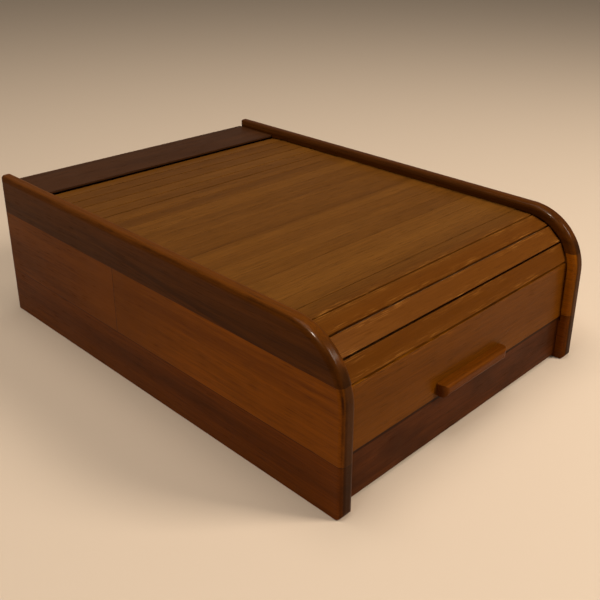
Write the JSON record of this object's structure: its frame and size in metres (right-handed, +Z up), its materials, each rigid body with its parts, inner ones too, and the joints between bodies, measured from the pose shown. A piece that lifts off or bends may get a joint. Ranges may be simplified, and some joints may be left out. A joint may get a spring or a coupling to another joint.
{
  "type": "roll-top bread box",
  "caption": "Long low wooden bread box with solid rounded side boards and a slatted roll-top curtain with a bar handle.",
  "frame": {"origin": "centre of the footprint, on the surface it stands on", "axes": "+Z up; the front with the handle faces -Y; the left side board, seen from the front, is at -X"},
  "size_m": [0.296, 0.42, 0.131],
  "materials": {
    "dark_stave": "satin oiled, dark",
    "light_stave": "satin oiled, lighter",
    "side_stave": "satin oiled",
    "front_rail": "satin oiled",
    "cap_board": "satin oiled",
    "panel": "bare veneer",
    "inner_wood": "bare",
    "brass": "plain",
    "canvas": "woven",
    "handle": "satin oiled",
    "slats": "satin oiled"
  },
  "bodies": {
    "carcass": {"left_bottom_stave": "dark_stave", "left_middle_rear_stave": "light_stave", "left_middle_front_stave": "side_stave", "left_top_stave": "side_stave", "right_bottom_stave": "dark_stave", "right_middle_rear_stave": "light_stave", "right_middle_front_stave": "side_stave", "right_top_stave": "side_stave", "front_rail": "front_rail", "cap_board": "cap_board", "back_panel": "panel", "bottom_panel": "panel", "inner_back": "panel", "tail_stops": "inner_wood", "floor_cleats": "inner_wood", "dowels": "inner_wood", "back_screws": "brass", "bottom_screws": "brass"},
    "top_run": {"slat_05": "slats", "slat_06": "slats", "slat_07": "slats", "slat_08": "slats", "slat_09": "slats", "slat_10": "slats", "slat_11": "slats", "slat_12": "slats", "slat_13": "slats", "slat_14": "slats", "slat_15": "slats", "slat_16": "slats", "slat_17": "slats", "canvas_top_run": "canvas"},
    "lead": {"lead_rail": "slats", "handle": "handle", "handle_screws": "brass"},
    "slat_01_body": {"slat_01": "slats", "canvas_01": "canvas"},
    "slat_02_body": {"slat_02": "slats", "canvas_02": "canvas"},
    "slat_03_body": {"slat_03": "slats", "canvas_03": "canvas"},
    "slat_04_body": {"slat_04": "slats", "canvas_04": "canvas"},
    "slat_18_body": {"slat_18": "slats", "canvas_18": "canvas"},
    "slat_19_body": {"slat_19": "slats", "canvas_19": "canvas"},
    "slat_20_body": {"slat_20": "slats", "canvas_20": "canvas"},
    "slat_21_body": {"slat_21": "slats", "canvas_21": "canvas"},
    "slat_22_body": {"slat_22": "slats", "canvas_22": "canvas"},
    "slat_23_body": {"slat_23": "slats", "canvas_23": "canvas"}
  },
  "joints": [
    {"name": "curtain_slide", "type": "slide", "parent": "carcass", "child": "top_run", "axis": [0, 1, 0], "range_m": [0, 0.075]},
    {"name": "lead_turn", "type": "hinge", "parent": "carcass", "child": "lead", "pos_m": [0, -0.14849, 0.06706], "axis": [-1, 0, 0], "range_deg": [0, 78.48]},
    {"name": "slat_01_turn", "type": "hinge", "parent": "carcass", "child": "slat_01_body", "pos_m": [0, -0.14358, 0.05653], "axis": [-1, 0, 0], "range_deg": [0, 64.72]},
    {"name": "slat_02_turn", "type": "hinge", "parent": "carcass", "child": "slat_02_body", "pos_m": [0, -0.13513, 0.01767], "axis": [-1, 0, 0], "range_deg": [0, 40.91]},
    {"name": "slat_03_turn", "type": "hinge", "parent": "carcass", "child": "slat_03_body", "pos_m": [0, -0.12548, -0.13013], "axis": [-1, 0, 0], "range_deg": [0, 17.1]},
    {"name": "slat_04_turn", "type": "hinge", "parent": "carcass", "child": "slat_04_body", "pos_m": [0, -0.10998, -7.5323], "axis": [-1, 0, 0], "range_deg": [0, 0.582]},
    {"name": "slat_18_turn", "type": "hinge", "parent": "carcass", "child": "slat_18_body", "pos_m": [0, 0.09803, -3.32035], "axis": [-1, 0, 0], "range_deg": [0, 1.27]},
    {"name": "slat_19_turn", "type": "hinge", "parent": "carcass", "child": "slat_19_body", "pos_m": [0, 0.11275, -0.15691], "axis": [-1, 0, 0], "range_deg": [0, 15.47]},
    {"name": "slat_20_turn", "type": "hinge", "parent": "carcass", "child": "slat_20_body", "pos_m": [0, 0.12198, -0.00791], "axis": [-1, 0, 0], "range_deg": [0, 33.1]},
    {"name": "slat_21_turn", "type": "hinge", "parent": "carcass", "child": "slat_21_body", "pos_m": [0, 0.13036, 0.03723], "axis": [-1, 0, 0], "range_deg": [0, 50.73]},
    {"name": "slat_22_turn", "type": "hinge", "parent": "carcass", "child": "slat_22_body", "pos_m": [0, 0.13856, 0.05825], "axis": [-1, 0, 0], "range_deg": [0, 68.36]},
    {"name": "slat_23_turn", "type": "hinge", "parent": "carcass", "child": "slat_23_body", "pos_m": [0, 0.14475, 0.06677], "axis": [-1, 0, 0], "range_deg": [0, 81.16]}
  ],
  "couplings": [
    {"joint": "lead_turn", "follows": "curtain_slide", "rad_per_m": 18.258},
    {"joint": "slat_01_turn", "follows": "curtain_slide", "rad_per_m": 15.057},
    {"joint": "slat_02_turn", "follows": "curtain_slide", "rad_per_m": 9.5153},
    {"joint": "slat_03_turn", "follows": "curtain_slide", "rad_per_m": 3.9742},
    {"joint": "slat_04_turn", "follows": "curtain_slide", "rad_per_m": 0.13078},
    {"joint": "slat_18_turn", "follows": "curtain_slide", "rad_per_m": 0.29066},
    {"joint": "slat_19_turn", "follows": "curtain_slide", "rad_per_m": 3.5961},
    {"joint": "slat_20_turn", "follows": "curtain_slide", "rad_per_m": 7.6985},
    {"joint": "slat_21_turn", "follows": "curtain_slide", "rad_per_m": 11.801},
    {"joint": "slat_22_turn", "follows": "curtain_slide", "rad_per_m": 15.904},
    {"joint": "slat_23_turn", "follows": "curtain_slide", "rad_per_m": 18.882}
  ]
}
